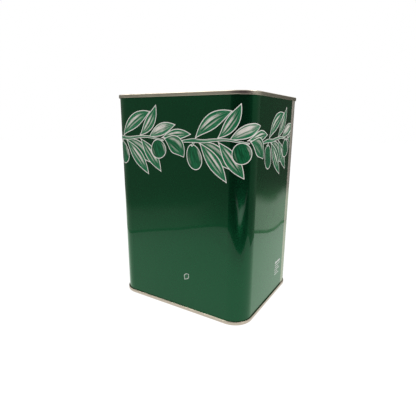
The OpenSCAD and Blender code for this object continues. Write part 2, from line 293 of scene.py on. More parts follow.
@dataclass(frozen=True)
class LacquerFinish(Finish):
    """Dark green lacquer with a bare metal margin along the weld, in metres and degrees."""

    name: str = "lacquered_sheet"
    green: Colour = (0.0055, 0.085, 0.030)
    deep: Colour = (0.0045, 0.075, 0.026)
    bare: Colour = (0.52, 0.46, 0.41)
    stain: Colour = (0.36, 0.31, 0.28)
    stained: Span = (0.3, 0.7)
    rolling: Triple = (500.0, 500.0, 9.0)
    metal: float = 0.88
    dull: float = 0.28
    smoother: float = 0.1
    corner: Point = (0.0545, 0.042)
    margin_from: float = 0.0369
    margin_angle: float = 38.0
    margin_edge: float = 0.0002
    weld_angle: float = 17.0
    heat: Colour = (0.16, 0.15, 0.17)
    heat_share: float = 0.75
    heat_ragged: float = 0.02
    heat_fades: Span = (0.06, 0.13)
    gloss: Gloss = Gloss()

    def masks(self, graph: Graph, place: NodeSocket, ragged: NodeSocket) -> tuple[NodeSocket, NodeSocket]:
        """Mask the unprinted margin and the blued band along its weld.

        The margin lies behind a line on the narrow side, up to an angle round the corner.

        Args:
            graph: The material's graph.
            place: Object coordinates.
            ragged: Fine texture that makes the edges uneven.

        Returns:
            The margin's mask and the band's mask.
        """
        split = graph.add("SeparateXYZ", Vector=place)
        east = graph.minus(split.outputs["X"], self.corner[0])
        north = graph.minus(split.outputs["Y"], self.corner[1])
        jitter = graph.times(ragged, self.margin_edge)
        behind = graph.ramp(graph.plus(split.outputs["Y"], jitter), self.margin_from,
                            self.margin_from + self.margin_edge)
        turn = math.radians(self.margin_angle)
        slant = graph.minus(graph.times(east, math.sin(turn)), graph.times(north, math.cos(turn)))
        before = graph.ramp(graph.plus(slant, jitter), 0.0, self.margin_edge)
        off = graph.minus(graph.math("ARCTAN2", north, east), math.radians(self.weld_angle))
        off = graph.plus(graph.math("ABSOLUTE", off), graph.times(ragged, self.heat_ragged))
        return graph.times(behind, before), graph.times(graph.fall(off, *self.heat_fades), self.heat_share)

    def paint(self, graph: Graph, shader: Node, place: NodeSocket) -> None:
        """Feed the shader of the body sheet."""
        tex, rough = self.gloss.lay(graph, shader, place)
        bare, blued = self.masks(graph, place, tex.outputs["Fine"])
        rolled = graph.add("Group", node_tree=brushed_group(), Vector=place, Stretch=self.rolling)
        metal = graph.mix(graph.ramp(rolled, *self.stained), self.stain, self.bare)
        lacquer = graph.mix(tex.outputs["Slow"], self.deep, self.green)
        graph.feed(shader, Base_Color=graph.mix(bare, lacquer, graph.mix(blued, metal, self.heat)),
                   Metallic=graph.minus(self.metal, graph.times(bare, self.dull)),
                   Coat_Weight=graph.minus(1.0, bare),
                   Roughness=graph.minus(rough, graph.times(bare, self.smoother)))


@dataclass(frozen=True)
class PrintFinish(Finish):
    """Printed ink inside a pale outline, with brush strokes along the piece's own UV map.

    The second UV map, rim, holds the distance to the edge in millimetres. A stroke has its place
    across the shape, its reach to each side and its weight.
    """

    name: str
    ink: Colour
    deep: Colour
    pale: Colour = (0.56, 0.53, 0.49)
    outline: Colour = (0.62, 0.59, 0.56)
    outline_width: float = 0.62
    outline_soft: float = 0.16
    outline_ragged: float = 0.12
    strokes: tuple[Triple, ...] = ()
    stroke_core: float = 0.25
    stroke_hairs: Span = (0.53, 0.65)
    stroke_gain: float = 0.2
    midrib: float = 0.0
    midrib_half: Span = (0.02, 0.05)
    hatch: float = 0.0
    hatch_hairs: Span = (0.56, 0.64)
    hatch_from: Span = (0.02, 0.2)
    tips: tuple[Span, Span] = ((0.05, 0.38), (0.55, 0.92))
    crosswise: bool = False
    brush: Triple = (3.0, 30.0, 1.0)
    scatter: Triple = (30.0, 30.0, 30.0)
    tones: Span = (0.35, 0.65)
    gloss: Gloss = Gloss()

    def paint(self, graph: Graph, shader: Node, place: NodeSocket) -> None:
        """Feed the shader of the print."""
        self.gloss.lay(graph, shader, place)
        uv = graph.add("UVMap", uv_map="UVMap")
        along, across = graph.add("SeparateXYZ", Vector=uv).outputs[:2]
        if self.crosswise:
            along, across = across, along
        drawn = graph.vector("MULTIPLY", uv, self.brush)
        moved = graph.vector("MULTIPLY", place, self.scatter)
        hair = graph.noise(graph.vector("ADD", drawn, moved), scale=1.0, detail=4.0, roughness=0.65)
        colour = graph.mix(graph.ramp(hair, *self.tones), self.deep, self.ink)
        ends = graph.window(along, *self.tips)
        for centre, spread, weight in self.strokes:
            band = graph.times(graph.near(across, centre, spread * self.stroke_core, spread), ends)
            hairs = graph.ramp(graph.plus(hair, graph.times(band, self.stroke_gain)), *self.stroke_hairs)
            colour = graph.mix(graph.times(band, hairs, weight), colour, self.pale)
        if self.hatch:
            lines = graph.times(graph.ramp(hair, *self.hatch_hairs), graph.ramp(along, *self.hatch_from))
            colour = graph.mix(graph.times(lines, self.hatch), colour, self.pale)
        if self.midrib:
            middle = graph.near(across, 0.5, *self.midrib_half)
            colour = graph.mix(graph.times(middle, self.midrib, ends), colour, self.deep)
        rim = graph.add("SeparateXYZ", Vector=graph.add("UVMap", uv_map="rim")).outputs["X"]
        ragged = graph.plus(rim, graph.times(hair, self.outline_ragged))
        line = graph.fall(ragged, self.outline_width, self.outline_width + self.outline_soft)
        graph.feed(shader, Base_Color=graph.mix(line, colour, self.outline))


@dataclass(frozen=True)
class MetalFinish(Finish):
    """Bare or gold lacquered sheet and wire with rolling lines."""

    name: str
    bright: Colour
    dull: Colour
    roughness: float = 0.25
    stretch: Triple = (60.0, 60.0, 2600.0)
    relief: float = 0.05
    lines: float = 0.6
    marks: float = 0.25
    mark_scale: float = 180.0
    uneven: Span = (-0.06, 0.08)

    def paint(self, graph: Graph, shader: Node, place: NodeSocket) -> None:
        """Feed the shader of the metal."""
        rolled = graph.add("Group", node_tree=brushed_group(), Vector=place, Stretch=self.stretch)
        tex = graph.add("Group", node_tree=surface_group(), Vector=place, Mark_Scale=self.mark_scale)
        lines, mottle = rolled.outputs[:2]
        tone = graph.plus(graph.times(lines, self.lines), graph.times(mottle, 1 - self.lines))
        colour = graph.mix(tone, self.dull, self.bright)
        low, high = (self.roughness + more for more in self.uneven)
        graph.feed(shader, Metallic=1.0, Roughness=graph.span(tone, low, high),
                   Base_Color=graph.mix(graph.times(tex.outputs["Marks"], self.marks), colour, self.dull),
                   Normal=graph.add("Bump", Height=lines, Strength=self.relief, Distance=GRAIN_DEEP))


@dataclass(frozen=True)
class PlasticFinish(Finish):
    """Moulded plastic or rubber with a fine grain and slight marks."""

    name: str
    colour: Colour
    roughness: float = 0.4
    grain: float = 0.06
    soft: float = 0.0
    lighter: Span = (1.18, 0.004)
    darker: float = 0.8
    marks: float = 0.3
    worn: float = 0.14

    def paint(self, graph: Graph, shader: Node, place: NodeSocket) -> None:
        """Feed the shader of the moulding."""
        tex = graph.add("Group", node_tree=surface_group(), Vector=place, Fine_Scale=1600.0,
                        Slow_Scale=40.0, Mark_Scale=150.0)
        fine, slow, marks = tex.outputs[:3]
        gain, more = self.lighter
        colour = graph.mix(slow, self.colour, tuple(min(1.0, c * gain + more) for c in self.colour))
        worn = tuple(self.darker * c for c in self.colour)
        graph.feed(shader, Base_Color=graph.mix(graph.times(marks, self.marks), colour, worn),
                   Roughness=graph.span(marks, self.roughness, self.roughness + self.worn),
                   Normal=graph.add("Bump", Height=fine, Strength=self.grain, Distance=GRAIN_DEEP),
                   Subsurface_Weight=self.soft, Subsurface_Scale=MM)


TINPLATE = MetalFinish("tinplate", (0.72, 0.64, 0.52), (0.52, 0.45, 0.36), 0.33)
WELD = MetalFinish("weld", (0.5, 0.46, 0.4), (0.25, 0.23, 0.2), 0.35, (2600.0, 2600.0, 60.0))
EAR = MetalFinish("ear_sheet", (0.66, 0.64, 0.58), (0.45, 0.43, 0.38), 0.30, (900.0, 60.0, 900.0))
WIRE = MetalFinish("wire", (0.68, 0.68, 0.66), (0.45, 0.45, 0.44), 0.24, (200.0, 200.0, 200.0))
COMPOUND = PlasticFinish("compound", (0.05, 0.05, 0.05), 0.7)
GRIP = PlasticFinish("grip", (0.012, 0.012, 0.012), 0.5, 0.2)
BUSH = PlasticFinish("bush", (0.66, 0.63, 0.50), 0.38, 0.05, 0.1)
GASKET = PlasticFinish("gasket", (0.5, 0.5, 0.48), 0.6)
TUBE = PlasticFinish("tube", (0.70, 0.67, 0.53), 0.36, 0.05, 0.1)
CAP = PlasticFinish("cap", (0.012, 0.115, 0.04), 0.32, 0.05)
LINER = PlasticFinish("liner", (0.8, 0.8, 0.78), 0.65, 0.12)
NODES: dict[Finish, tuple[str, ...]] = {
    LacquerFinish(): ("body_wall",),
    WELD: ("side_seam",),
    TINPLATE: ("top_end", "bottom_end"),
    COMPOUND: ("top_seal", "bottom_seal"),
    EAR: ("handle_ear_left", "handle_ear_right"),
    WIRE: ("handle_wire",),
    GRIP: ("handle_grip",),
    BUSH: ("spout_bush", "guide_ring"),
    GASKET: ("neck_gasket", "spout_wiper"),
    TUBE: ("spout_tube", "spout_neck"),
    CAP: ("tamper_ring", "spout_cap", "bail_front", "bail_back"),
    LINER: ("cap_liner",),
}


def dress_nodes(nodes: dict[str, Object]) -> None:
    """Give every node of the frame its finish.

    Args:
        nodes: The frame's objects by name.
    """
    for finish, names in NODES.items():
        for name in names:
            dress(nodes[name], finish.material())
            log.info("%s: %s", name, finish.name)


@dataclass(frozen=True)
class Wall:
    """Outer face of the body sheet, unrolled: s runs round it and z up it, in millimetres.

    s is 0 where the flat of the wide face begins at its left, seen from the front,
    and grows to the right and on round the tin.
    """

    width: float = 143.0
    depth: float = 118.0
    radius: float = 17.0

    def girth(self) -> float:
        """Length once round the sheet."""
        return 2 * (self.width + self.depth - 4 * self.radius) + 2 * math.pi * self.radius

    def at(self, s: float, z: float, lift: float) -> Vector:
        """Point over the sheet.

        Args:
            s: Distance round the sheet.
            z: Height over the base.
            lift: Height over the sheet's face.

        Returns:
            The point in metres.
        """
        a = self.width - 2 * self.radius
        b = self.depth - 2 * self.radius
        quarter = math.pi * self.radius / 2
        reach = self.radius + lift
        s %= self.girth()
        corners = ((a / 2, -b / 2), (a / 2, b / 2), (-a / 2, b / 2), (-a / 2, -b / 2))
        for side, (run, corner) in enumerate(zip((a, b, a, b), corners)):
            turn = math.radians(90 * side - 90)
            if s < run:
                normal = Vector((math.cos(turn), math.sin(turn)))
                ahead = Vector((-normal.y, normal.x))
                flat = Vector(corner) - ahead * (run - s) + normal * reach
                return Vector((flat.x, flat.y, z)) * MM
            s -= run
            if s < quarter:
                angle = turn + s / self.radius
                x, y = corner[0] + reach * math.cos(angle), corner[1] + reach * math.sin(angle)
                return Vector((x, y, z)) * MM
            s -= quarter
        raise ValueError("s lies beyond the wall")


def deselect() -> None:
    """Deselect every object."""
    for obj in bpy.context.selected_objects:
        obj.select_set(False)


def add_object(name: str, data: ID) -> Object:
    """Add an object to the scene."""
    obj = bpy.data.objects.new(name, data)
    bpy.context.scene.collection.objects.link(obj)
    return obj


def add_mesh(primitive: Callable[..., object], **values: object) -> Object:
    """Add a mesh with nothing else selected.

    Args:
        primitive: The operator that adds it.
        **values: What the operator takes.

    Returns:
        The new object, which is the active one.
    """
    deselect()
    primitive(**values)
    return bpy.context.active_object


def in_edit(*steps: Callable[[], object], everything: bool = True) -> None:
    """Run operators on the active mesh in edit mode.

    Args:
        *steps: The operators.
        everything: Whether all of the mesh is selected first.
    """
    bpy.ops.object.mode_set(mode="EDIT")
    if everything:
        bpy.ops.mesh.select_all(action="SELECT")
    for step in steps:
        step()
    bpy.ops.object.mode_set(mode="OBJECT")


def clear_choice(kind: str) -> None:
    """Select by edge or face in the active mesh, and start with none selected."""
    in_edit(lambda: bpy.ops.mesh.select_mode(type=kind), lambda: bpy.ops.mesh.select_all(action="DESELECT"))


def clean_print() -> None:
    """Delete the active print's faces that have next to no area, and what hangs loose after them."""
    in_edit(lambda: bpy.ops.mesh.dissolve_degenerate(threshold=SHORTEST_EDGE))
    clear_choice("FACE")
    for face in bpy.context.active_object.data.polygons:
        face.select = face.area < LEAST_AREA
    in_edit(lambda: bpy.ops.mesh.delete(type="FACE"), everything=False)
    in_edit(bpy.ops.mesh.delete_loose)


def clean_moulding() -> None:
    """Weld the active moulding, turn its faces outwards and keep its edges crisp."""
    in_edit(lambda: bpy.ops.mesh.remove_doubles(threshold=SAME_SPOT),
            lambda: bpy.ops.mesh.normals_make_consistent(inside=False))
    bpy.ops.object.shade_smooth_by_angle(angle=CRISP)


def dress(obj: Object, material: Material) -> None:
    """Give an object one material."""
    obj.data.materials.clear()
    obj.data.materials.append(material)


def mount(parts: Sequence[Object], name: str, finish: Finish, body: Body,
          clean: Callable[[], None] = clean_moulding) -> None:
    """Join parts into one piece, clean and dress it, and let it ride on its body.

    Args:
        parts: The parts.
        name: Name of the piece.
        finish: Its finish.
        body: The body that it rides on.
        clean: Function that cleans the active mesh.
    """
    deselect()
    for part in parts:
        part.select_set(True)
    piece = bpy.context.view_layer.objects.active = parts[0]
    if len(parts) > 1:
        bpy.ops.object.join()
    piece.name = piece.data.name = name
    bpy.ops.object.shade_smooth()
    clean()
    dress(piece, finish.material())
    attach(piece, body.value)
    log.info("%s: %d faces", name, len(piece.data.polygons))


class Ink(Enum):
    """What a printed shape is drawn with: a piece of the garland each."""

    LEAF = PrintFinish("garland_leaves", (0.014, 0.165, 0.068), (0.006, 0.075, 0.030), midrib=0.85,
                       hatch=0.22, strokes=((0.64, 0.16, 0.95), (0.36, 0.09, 0.5)))
    PALE = PrintFinish("garland_pale_leaves", (0.03, 0.19, 0.09), (0.012, 0.095, 0.042), midrib=0.6,
                       hatch=0.45, strokes=((0.66, 0.34, 1.2), (0.36, 0.12, 0.6)))
    DARK = PrintFinish("garland_dark_leaves", (0.012, 0.145, 0.058), (0.005, 0.055, 0.022), midrib=0.5,
                       hatch=0.12, strokes=((0.74, 0.16, 0.55), (0.30, 0.08, 0.25)))
    OLIVE = PrintFinish("garland_olives", (0.009, 0.115, 0.046), (0.003, 0.042, 0.016), crosswise=True,
                        brush=(22.0, 2.0, 1.0), strokes=((0.88, 0.10, 0.40), (0.16, 0.08, 0.12)))
    WOOD = PrintFinish("garland_stems", (0.022, 0.19, 0.085), (0.008, 0.075, 0.032), outline_width=0.45,
                       strokes=((0.62, 0.18, 0.4),))


@dataclass(frozen=True)
class Leaf:
    """One printed leaf in a sprig, in millimetres along and over the stem."""

    base: Point
    tip: Point
    width: float
    bow: float
    ink: Ink = Ink.LEAF
    cells: tuple[int, int] = (40, 12)
    lean: float = 1.06
    sharp: Span = (1.12, 0.22)
    thinnest: float = 0.3
    slope: float = 0.93
    end: float = 1e-4

    def half(self, u: float) -> float:
        """Half of the width at u from base to tip."""
        u = min(max(u, self.end), 1 - self.end)
        sharp = self.sharp[0] - self.sharp[1] * u
        return max(self.width / 2 * math.sin(math.pi * u ** self.lean) ** sharp, self.thinnest)

    def at(self, u: float, v: float) -> Point:
        """Point of the leaf, u from base to tip and v from -1 to 1 across it."""
        start = Vector(self.base)
        end = Vector(self.tip)
        run = end - start
        side = Vector((-run.y, run.x)).normalized()
        middle = (start + end) / 2 + side * self.bow * 2
        centre = start * (1 - u) ** 2 + middle * 2 * u * (1 - u) + end * u ** 2
        way = ((middle - start) * (1 - u) + (end - middle) * u).normalized()
        point = centre + Vector((-way.y, way.x)) * self.half(u) * v
        return point.x, point.y

    def rim(self, u: float, v: float) -> float:
        """Distance to the leaf's edge."""
        return self.half(u) * (1 - abs(v)) * self.slope


@dataclass(frozen=True)
class Olive:
    """One printed olive in a sprig, a little fuller at its foot."""

    centre: Point
    size: Point
    tilt: float
    ink: Ink = Ink.OLIVE
    cells: tuple[int, int] = (22, 22)
    fuller: float = 0.09
    soft: Span = (0.5, 0.07)

    def disc(self, u: float, v: float) -> Point:
        """Carry the square of u and v to a round disc of radius 1."""
        x = 2 * u - 1
        return x * math.sqrt(1 - v * v / 2), v * math.sqrt(1 - x * x / 2)

    def at(self, u: float, v: float) -> Point:
        """Point of the olive."""
        rx, ry = self.disc(u, v)
        px = rx * (1 - self.fuller * ry) * self.size[0]
        py = ry * self.size[1]
        turn = math.radians(self.tilt)
        return (self.centre[0] + px * math.cos(turn) - py * math.sin(turn),
                self.centre[1] + px * math.sin(turn) + py * math.cos(turn))

    def rim(self, u: float, v: float) -> float:
        """Distance to the olive's edge by its radius in each direction, softened in the middle."""
        rx, ry = self.disc(u, v)
        reach = self.size[0] * rx * rx + self.size[1] * ry * ry + self.soft[0]
        return (1 - math.hypot(rx, ry)) * reach / (rx * rx + ry * ry + self.soft[1])


@dataclass(frozen=True)
class Stem:
    """The stem of one sprig, or the stalk of an olive, through points.

    thick holds half of its thickness at its start, where it is fullest and at its end.
    """

    points: tuple[Point, ...]
    thick: Triple
    ink: Ink = Ink.WOOD
    cells: tuple[int, int] = (72, 6)
    fullest: float = 0.16

    def length(self) -> float:
        """Length of the stem along x and y."""
        return sum(math.dist(a, b) for a, b in zip(self.points, self.points[1:]))

    def half(self, u: float) -> float:
        """Half of the thickness at u."""
        start, full, end = self.thick
        if u < self.fullest:
            return start + (full - start) * u / self.fullest
        return full + (end - full) * (u - self.fullest) / (1 - self.fullest)

    def at(self, u: float, v: float) -> Point:
        """Point of the stem on a smooth curve through its points."""
        place = u * (len(self.points) - 1)
        index = min(int(place), len(self.points) - 2)
        part = place - index
        p = [Vector(self.points[min(max(index + k, 0), len(self.points) - 1)]) for k in (-1, 0, 1, 2)]
        centre = 0.5 * (2 * p[1] + (p[2] - p[0]) * part
                        + (2 * p[0] - 5 * p[1] + 4 * p[2] - p[3]) * part ** 2
                        + (3 * p[1] - p[0] - 3 * p[2] + p[3]) * part ** 3)
        way = (p[2] - p[1]).normalized()
        point = centre + Vector((-way.y, way.x)) * self.half(u) * v
        return point.x, point.y

    def rim(self, u: float, v: float) -> float:
        """Distance to the stem's edge or end."""
        return min(self.half(u) * (1 - abs(v)), self.length() * min(u, 1 - u))


@dataclass(frozen=True)
class Bar:
    """One plain printed bar, from its upper left corner."""

    width: float
    height: float
    cells: tuple[int, int] = (8, 1)

    def at(self, u: float, v: float) -> Point:
        """Point of the bar."""
        return u * self.width, (v - 1) * self.height / 2

    def rim(self, u: float, v: float) -> float:
        """Distance to the edge, 0 all over: a bar has the colour of an outline."""
        return 0.0


Shape = Leaf | Olive | Stem | Bar


def print_on(wall: Wall, shape: Shape, lift: float, flat: Callable[[float, float], Point]) -> Object:
    """Lay a printed shape on the wall as a grid, with its distances to the edge in a second UV map.

    Args:
        wall: The wall.
        shape: The shape, drawn in its own millimetres.
        lift: Height over the wall in millimetres.
        flat: Function from a point of the shape to s and z on the wall.

    Returns:
        The object.
    """
    nu, nv = shape.cells
    obj = add_mesh(bpy.ops.mesh.primitive_grid_add, x_subdivisions=nu, y_subdivisions=nv, size=2.0)
    mesh = obj.data
    spots = [((v.co.x + 1) / 2, v.co.y) for v in mesh.vertices]
    layer = mesh.uv_layers.new(name="rim")
    for loop in mesh.loops:
        layer.data[loop.index].uv = (shape.rim(*spots[loop.vertex_index]), 0.0)
    mesh.uv_layers.active_index = 0
    for vertex, spot in zip(mesh.vertices, spots):
        vertex.co = wall.at(*flat(*shape.at(*spot)), lift)
    mesh.update()
    return obj


@dataclass
class Garland:
    """Border of olive sprigs printed round the upper half of the tin."""

    wall: Wall
    repeats: int = 6
    first: float = 64.4
    stem_z: float = 161.0
    margin: Span = (214.65, 231.0)
    lift: float = 0.04
    layer: float = 0.014
    drawn_length: float = 83.0
    sprig: tuple[Shape, ...] = (
        Leaf((14.4, -0.5), (46.4, -21.6), 13.4, 2.3, Ink.DARK),
        Leaf((11.6, 1.4), (46.8, 23.8), 12.6, 3.4),
        Leaf((33.0, 2.2), (53.6, 29.4), 11.0, -2.9),
        Leaf((59.0, 1.2), (91.0, 5.2), 9.2, 1.5),
        Leaf((61.5, 0.6), (83.4, -14.4), 15.6, 3.4, Ink.DARK),
        Leaf((16.0, -0.8), (43.0, -32.4), 12.2, 0.6),
        Leaf((34.0, 0.4), (57.8, -28.8), 12.4, 0.8),
        Leaf((44.0, 1.0), (74.8, 12.8), 10.6, 1.7, Ink.PALE),
        Olive((55.4, -8.6), (8.6, 8.6), 20.0),
        Olive((11.1, -13.6), (7.6, 11.0), 17.0),
        Stem(((12.8, 0.8), (10.8, -1.4), (8.6, -4.6)), (0.7, 1.0, 0.8), cells=(8, 4)),
        Stem(((-1.0, -0.8), (10.0, 0.2), (20.0, 0.0), (31.0, 1.3), (42.0, 1.9), (52.0, 0.7), (61.5, -0.9)),
             (1.0, 1.75, 0.6)),
    )

    def trim(self, s: float, middle: float) -> float:
        """Keep s out of the bare margin at the weld, on the side where the shape's middle lies."""
        low, high = self.margin
        return min(s, low) if middle < (low + high) / 2 else max(s, high)

    def build(self) -> None:
        """Lay every sprig round the wall and dress the shapes by their ink."""
        period = self.wall.girth() / self.repeats
        laid: dict[Ink, list[Object]] = {ink: [] for ink in Ink}
        for number in range(self.repeats):
            start = self.first + number * period
            for order, shape in enumerate(self.sprig):
                middle = start + shape.at(0.5, 0.0)[0]

                def flat(x: float, y: float) -> Point:
                    """Place on the wall of a point of the shape."""
                    return self.trim(start + x * period / self.drawn_length, middle), self.stem_z + y

                laid[shape.ink].append(print_on(self.wall, shape, self.lift + order * self.layer, flat))
        for ink, shapes in laid.items():
            mount(shapes, ink.value.name, ink.value, Body.TIN, clean_print)


@dataclass
class SmallPrint:
    """Small generic marks low on the tin: a plain drop, and a block of plain bars."""

    wall: Wall
    drop: Leaf = Leaf((-2.6, -2.9), (2.2, 3.8), 5.6, 0.5, cells=(20, 12))
    drop_at: Point = (67.2, 34.4)
    bars_at: Point = (194.0, 35.6)
    rows: tuple[Point, ...] = ((14.6, 2.2), (14.6, 1.0), (10.4, 1.0), (13.2, 1.0), (7.6, 1.0), (11.8, 1.0))
    gap: float = 1.5
    lift: float = 0.05
    ink: PrintFinish = PrintFinish("small_marks", (0.02, 0.12, 0.05), (0.01, 0.07, 0.03),
                                   outline=(0.40, 0.43, 0.39), outline_width=0.8)

    def build(self) -> None:
        """Lay the marks on the wall."""
        s, z = self.drop_at
        parts = [print_on(self.wall, self.drop, self.lift, lambda x, y: (s + x, z + y))]
        left, top = self.bars_at
        for width, height in self.rows:
            bar = Bar(width, height)
            parts.append(print_on(self.wall, bar, self.lift, lambda x, y: (left + x, top + y)))
            top -= height + self.gap
        mount(parts, self.ink.name, self.ink, Body.TIN, clean_print)


def bevel_edges(obj: Object, test: Callable[[Vector, Vector], bool], offset: float, segments: int) -> None:
    """Bevel the edges of the active mesh whose two ends pass a test.

    Args:
        obj: The active object.
        test: Test of an edge's two ends.
        offset: Width of the bevel in millimetres.
        segments: Number of segments across it.
    """
    clear_choice("EDGE")
    ends = obj.data.vertices
    for edge in obj.data.edges:
        edge.select = test(ends[edge.vertices[0]].co, ends[edge.vertices[1]].co)
    in_edit(lambda: bpy.ops.mesh.bevel(offset=offset * MM, segments=segments), everything=False)


def box(place: Vector, size: Triple, bevel: float = 0.0) -> Object:
    """Add a box at its size and place.

    Args:
        place: Its middle, in metres.
        size: Its three sizes in millimetres.
        bevel: Width of the rounding of its edges in millimetres, or 0 for none.

    Returns:
        The box.
    """
    obj = add_mesh(bpy.ops.mesh.primitive_cube_add, size=1.0, location=place, scale=Vector(size) * MM)
    bpy.ops.object.transform_apply()
    if bevel:
        in_edit(lambda: bpy.ops.mesh.bevel(offset=bevel * MM, segments=2))
    return obj


def copy_to(piece: Object, spots: Sequence[Matrix]) -> list[Object]:
    """Copy a piece to more places, each copy with its own mesh.

    Args:
        piece: The first piece.
        spots: Moves from the first piece to each copy.

    Returns:
        The piece and its copies.
    """
    made = [piece]
    for spot in spots:
        mesh = piece.data.copy()
        mesh.transform(spot)
        made.append(add_object(piece.name, mesh))
    return made


@dataclass(frozen=True)
class Thread:
    """A thread ridge: radius at its foot, its rise (negative inwards), its lower end and its turns."""

    root: float
    rise: float
    low: float
    turns: float


@dataclass(frozen=True)
class Ring:
    """A low round bead on a level face: radius, height of the face, half of its width and its rise."""

    radius: float
    height: float
    wide: float
    rise: float


@dataclass
class Spout:
    """Moulded detail of the spout and cap: threads, ribs, rings and tamper bridges.

    Heights are over the end panel, in millimetres, and radii are from the spout axis. A rib or a
    bridge is a box of depth, width and height with its edges rounded.
    """

    axis: Point = (43.0, -31.0)
    panel: float = 195.2
    pitch: float = 3.0
    ridge_tall: float = 0.62
    ridge_points: int = 12
    turn_steps: int = 96
    run_out: float = 6.0
    neck_thread: Thread = Thread(12.3, 0.8, -8.1, 1.9)
    cap_thread: Thread = Thread(14.2, -0.85, -6.6, 1.4)
    skirt: float = 15.6
    rib_count: int = 72
    rib_rise: float = 0.24
    rib_sunk: float = 0.15
    rib_wide: float = 0.66
    rib_round: float = 0.13
    rib_span: Span = (-8.7, 3.5)
    cap_rings: tuple[Ring, ...] = (Ring(3.2, 2.0, 0.35, 0.22), Ring(9.2, 2.0, 0.3, 0.2),
                                   Ring(14.75, 4.4, 0.3, 0.12))
    bush_rings: tuple[Ring, ...] = (Ring(19.7, 3.4, 0.35, 0.2), Ring(18.2, 3.4, 0.3, 0.16))
    bridge_count: int = 10
    bridge_at: Point = (14.9, -9.7)
    bridge_size: Triple = (0.7, 0.9, 1.2)
    bridge_round: float = 0.12

    def point(self, radius: float, height: float) -> Vector:
        """Point to the right of the spout axis, in metres."""
        return Vector((self.axis[0] + radius, self.axis[1], self.panel + height)) * MM

    def round_axis(self, piece: Object, count: int) -> list[Object]:
        """Copy a piece evenly round the spout axis."""
        centre = Matrix.Translation(self.point(0.0, 0.0))
        turns = [Matrix.Rotation(2 * math.pi * n / count, 4, "Z") for n in range(1, count)]
        return copy_to(piece, [centre @ turn @ centre.inverted() for turn in turns])

    def thread(self, ridge: Thread) -> Object:
        """Make a thread ridge, screwed from a rounded section, that runs out at both ends."""
        foot = self.point(0.0, ridge.low)
        climb = self.pitch * ridge.turns * MM
        obj = add_mesh(bpy.ops.mesh.primitive_circle_add, vertices=self.ridge_points, radius=MM,
                       location=foot, rotation=(math.pi / 2, 0.0, 0.0))
        bpy.ops.object.transform_apply(location=False, rotation=True)
        in_edit(lambda: bpy.ops.transform.resize(value=(abs(ridge.rise), 1.0, self.ridge_tall)),
                lambda: bpy.ops.transform.translate(value=(ridge.root * MM, 0.0, 0.0)))
        screw = obj.modifiers.new("thread", "SCREW")
        screw.angle = 2 * math.pi * ridge.turns
        screw.screw_offset = climb
        screw.steps = screw.render_steps = int(self.turn_steps * ridge.turns)
        bpy.ops.object.modifier_apply(modifier=screw.name)
        bpy.ops.object.transform_apply()
        for vertex in obj.data.vertices:
            along = (vertex.co.z - foot.z) / climb
            grown = min(1.0, *(self.run_out * ridge.turns * max(0.0, way) for way in (along, 1 - along)))
            sunk = (1 - grown) * ridge.rise * MM
            vertex.co -= Vector((vertex.co.x - foot.x, vertex.co.y - foot.y, 0.0)).normalized() * sunk
        in_edit(lambda: bpy.ops.mesh.fill_holes(sides=0))
        return obj

    def ring(self, bead: Ring) -> Object:
        """Make a low round bead."""
        obj = add_mesh(bpy.ops.mesh.primitive_torus_add, major_segments=128, minor_segments=12,
                       major_radius=bead.radius * MM, minor_radius=bead.wide * MM,
                       location=self.point(0.0, bead.height))
        bpy.ops.transform.resize(value=(1.0, 1.0, bead.rise / bead.wide))
        bpy.ops.object.transform_apply()
        return obj

    def ribs(self) -> list[Object]:
        """Make the ribs round the cap's skirt."""
        low, high = self.rib_span
        deep = self.rib_rise + self.rib_sunk
        place = self.point(self.skirt + self.rib_rise - deep / 2, (low + high) / 2)
        rib = box(place, (deep, self.rib_wide, high - low), self.rib_round)
        return self.round_axis(rib, self.rib_count)

    def bridges(self) -> list[Object]:
        """Make the bridges that hold the tamper ring on the cap."""
        bridge = box(self.point(*self.bridge_at), self.bridge_size, self.bridge_round)
        return self.round_axis(bridge, self.bridge_count)

    def build(self) -> None:
        """Build every detail of the spout."""
        mount([self.thread(self.neck_thread)], "neck_thread", TUBE, Body.SPOUT)
        mount([self.thread(self.cap_thread)], "cap_thread", CAP, Body.CAP)
        mount(self.ribs(), "cap_ribs", CAP, Body.CAP)
        mount([self.ring(bead) for bead in self.cap_rings], "cap_rings", CAP, Body.CAP)
        mount([self.ring(bead) for bead in self.bush_rings], "bush_rings", BUSH, Body.TIN)
        mount(self.bridges(), "tamper_bridges", CAP, Body.SPOUT)


@dataclass
class Grip:
    """Moulded ribs round the grip of the handle, in millimetres."""

    centre: Point = (44.0, 197.45)
    width: float = 11.0
    thick: float = 4.2
    rib: float = 1.5
    count: int = 13
    step: float = 4.0
    rise: float = 0.24
    sunk: float = 0.05
    flat: float = 0.02
    edge: float = 0.2

    def build(self) -> None:
        """Build one rib, rounded as the grip is and sunk in its underside, and copy it."""
        first = -self.step * (self.count - 1) / 2
        thick = self.thick + self.rise - self.sunk
        middle = Vector((first, self.centre[0], self.centre[1] + (self.rise + self.sunk) / 2)) * MM
        rib = box(middle, (self.rib, self.width + 2 * self.rise, thick))
        half = self.rib * MM / 2
        bevel_edges(rib, lambda a, b: abs(a.x - b.x) > half, thick / 2 - self.flat, segments=8)
        bevel_edges(rib, lambda a, b: abs(a.x - b.x) < half, self.edge, segments=2)
        steps = [Matrix.Translation((self.step * n * MM, 0.0, 0.0)) for n in range(1, self.count)]
        mount(copy_to(rib, steps), "grip_ribs", GRIP, Body.HANDLE)


def seen(graph: Graph) -> NodeSocket:
    """Mask of the rays that show a background: camera, gloss and transmission."""
    path = graph.add("LightPath").outputs
    direct = graph.math("MAXIMUM", path["Is Camera Ray"], path["Is Glossy Ray"])
    return graph.math("MAXIMUM", direct, path["Is Transmission Ray"])


